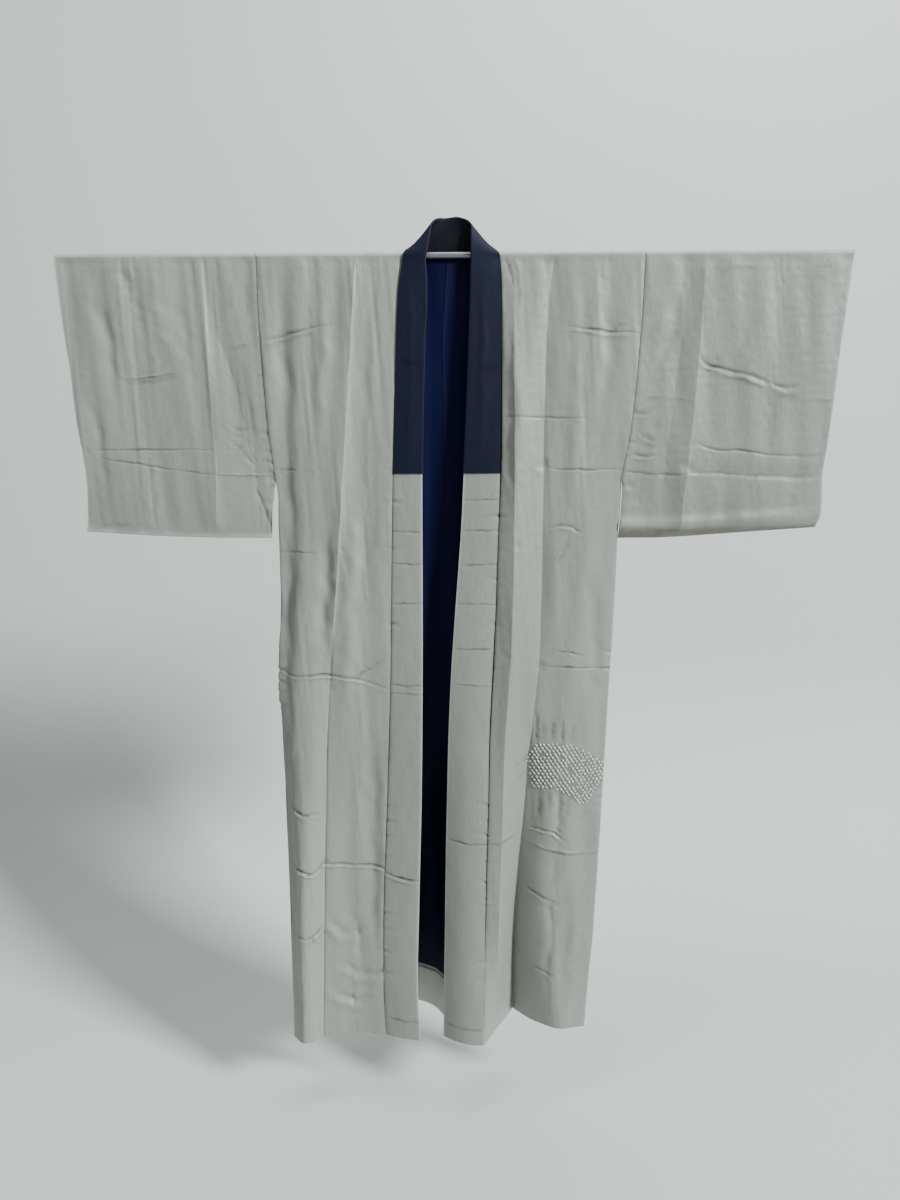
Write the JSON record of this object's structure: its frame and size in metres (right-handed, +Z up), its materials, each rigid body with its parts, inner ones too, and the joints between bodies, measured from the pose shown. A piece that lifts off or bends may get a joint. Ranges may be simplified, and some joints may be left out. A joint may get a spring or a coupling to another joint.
{
  "type": "kimono hanging on a rod",
  "caption": "Full-length silk kimono with square sleeves and a through collar, hanging open and flat on a thin rod run through its sleeves.",
  "frame": {"origin": "centre of the rod that holds the garment, on the rod's axis under the shoulder fold", "axes": "+Z up along the garment's length, +Y from the front to the back, +X along the rod towards the wearer's left"},
  "size_m": [1.374, 0.1482, 1.5134],
  "materials": {
    "celadon_silk": "satin",
    "navy_cover": "satin",
    "navy_lining": "satin",
    "rod_metal": "satin"
  },
  "bodies": {
    "root": {"rod": "rod_metal", "body_right_front": "celadon_silk", "body_right_back": "celadon_silk", "body_left_front": "celadon_silk", "body_left_back": "celadon_silk", "sleeve_right_front": "celadon_silk", "sleeve_right_back": "celadon_silk", "sleeve_left_front": "celadon_silk", "sleeve_left_back": "celadon_silk", "collar_right": "celadon_silk", "collar_left": "celadon_silk", "collar_neck_right": "celadon_silk", "collar_neck_left": "celadon_silk", "collar_cover_right": "navy_cover", "collar_cover_left": "navy_cover", "cover_neck_right": "navy_cover", "cover_neck_left": "navy_cover", "lining_right": "navy_lining", "lining_left": "navy_lining", "hem_facing_right": "celadon_silk", "hem_facing_left": "celadon_silk"}
  },
  "joints": []
}
